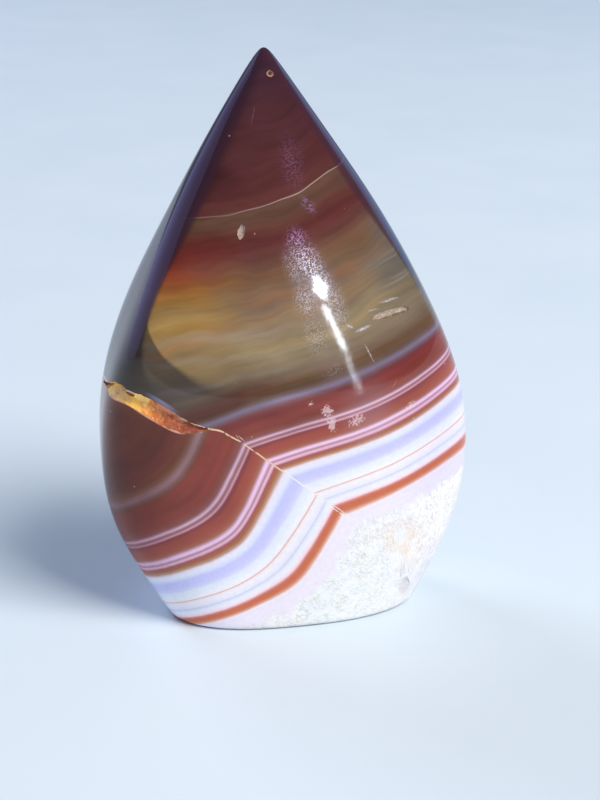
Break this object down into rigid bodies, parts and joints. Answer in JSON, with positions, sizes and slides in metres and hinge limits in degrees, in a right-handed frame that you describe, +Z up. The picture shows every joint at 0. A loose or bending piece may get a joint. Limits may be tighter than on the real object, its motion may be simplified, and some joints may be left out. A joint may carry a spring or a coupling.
{
  "type": "sardonyx teardrop",
  "caption": "Polished free-standing banded stone in a pointed teardrop shape, ground flat front and back, with a flat base and a fracture ledge.",
  "frame": {"origin": "on the base plane, at the middle of the stone's bounding box", "axes": "+Z up from the flat base to the tip, +Y from the banded front face to the back, +X to the right seen from the front"},
  "size_m": [0.0714, 0.0312, 0.11],
  "materials": {
    "stone": "high polish over red-brown, amber, white and salmon bands, with a rough fracture ledge"
  },
  "bodies": {
    "root": {"stone": "stone"}
  },
  "joints": []
}
